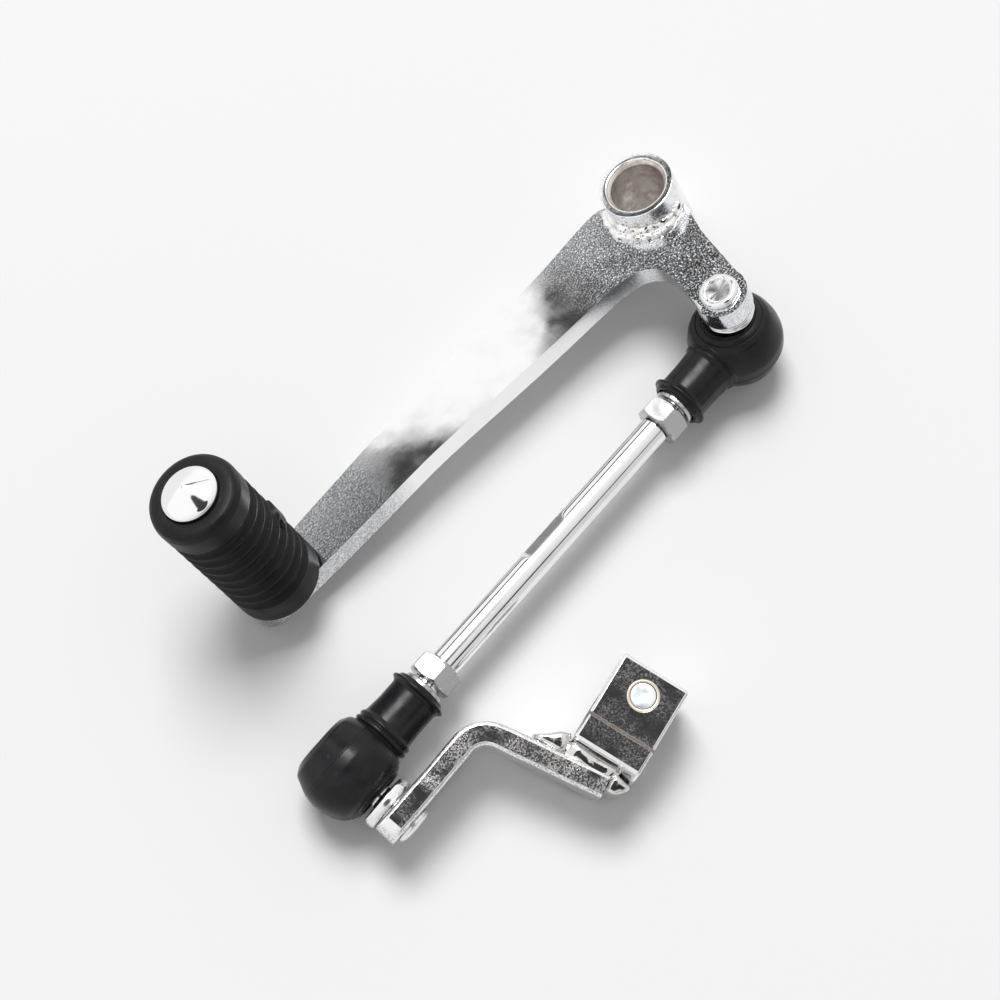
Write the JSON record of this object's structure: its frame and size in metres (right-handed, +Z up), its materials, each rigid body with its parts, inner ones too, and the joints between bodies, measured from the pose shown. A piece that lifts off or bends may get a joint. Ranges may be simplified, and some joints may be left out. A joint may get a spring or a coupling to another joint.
{
  "type": "motorcycle gear shift lever with linkage",
  "caption": "Chromed foot lever with a ribbed rubber peg, joined by a threaded link rod with booted ball joints to a bent shift arm that has a splined pinch clamp.",
  "frame": {"origin": "centre of the bounding box, on the floor that the linkage lies on", "axes": "+Z up from the floor; +X along the link rod from the shift arm towards the pedal's pivot; +Y from the shift arm across the rod to the pedal"},
  "size_m": [0.163, 0.1142, 0.0522],
  "materials": {
    "chrome": "bright chrome plate over a linished bar, a little pitted",
    "bare_steel": "bare steel, brownish",
    "weld": "plated over an uneven weld bead",
    "zinc": "zinc plate, dull",
    "rubber": "moulded, dull",
    "boot": "moulded, satin",
    "nylon": "natural nylon"
  },
  "bodies": {
    "pedal": {"lever_plate": "chrome", "pivot_tube": "bare_steel", "tube_weld_upper": "weld", "tube_weld_lower": "weld", "peg_pin": "chrome", "peg_rubber": "rubber", "ball_stud_lever": "zinc"},
    "seat_cup_lever": {"ball_seat_lower_lever": "nylon"},
    "seat_ring_lever": {"ball_seat_upper_lever": "nylon"},
    "link": {"ball_housing_lever": "zinc", "ball_plug_lever": "zinc", "ball_boot_lever": "boot", "lock_nut_lever": "zinc", "link_rod": "zinc", "lock_nut_arm": "zinc", "ball_boot_arm": "boot", "ball_plug_arm": "zinc", "ball_housing_arm": "zinc"},
    "seat_ring_arm": {"ball_seat_upper_arm": "nylon"},
    "seat_cup_arm": {"ball_seat_lower_arm": "nylon"},
    "arm": {"shift_arm": "chrome", "clamp_boss": "chrome", "clamp_weld_left": "weld", "clamp_weld_right": "weld", "pinch_bolt": "zinc", "pinch_washer": "zinc", "ball_stud_arm": "zinc"}
  },
  "joints": [
    {"name": "lever_ball_swivel", "type": "hinge", "parent": "pedal", "child": "seat_cup_lever", "pos_m": [0.06348, -0.00681, 0.01083], "axis": [-0.1041, 0.3708, 0.9229], "range_deg": [-6, 90]},
    {"name": "lever_ball_tilt", "type": "hinge", "parent": "seat_cup_lever", "child": "seat_ring_lever", "pos_m": [0.06348, -0.00681, 0.01083], "axis": [-0.0187, 0.927, -0.3746], "range_deg": [-13.2, 1.8]},
    {"name": "lever_ball_roll", "type": "hinge", "parent": "seat_ring_lever", "child": "link", "pos_m": [0.06348, -0.00681, 0.01083], "axis": [0.9998, 0.0197, -0.0013], "range_deg": [-5.5, 5.5]},
    {"name": "arm_ball_roll", "type": "hinge", "parent": "link", "child": "seat_ring_arm", "pos_m": [-0.07042, -0.00944, 0.011], "axis": [0.9998, 0.0197, -0.0013], "range_deg": [-5.5, 5.5]},
    {"name": "arm_ball_tilt", "type": "hinge", "parent": "seat_ring_arm", "child": "seat_cup_arm", "pos_m": [-0.07042, -0.00944, 0.011], "axis": [0.0034, -0.1062, 0.9943], "range_deg": [-8.9, 7.1]},
    {"name": "arm_ball_swivel", "type": "hinge", "parent": "seat_cup_arm", "child": "arm", "pos_m": [-0.07042, -0.00944, 0.011], "axis": [0.0311, -0.9938, -0.107], "continuous": true}
  ]
}
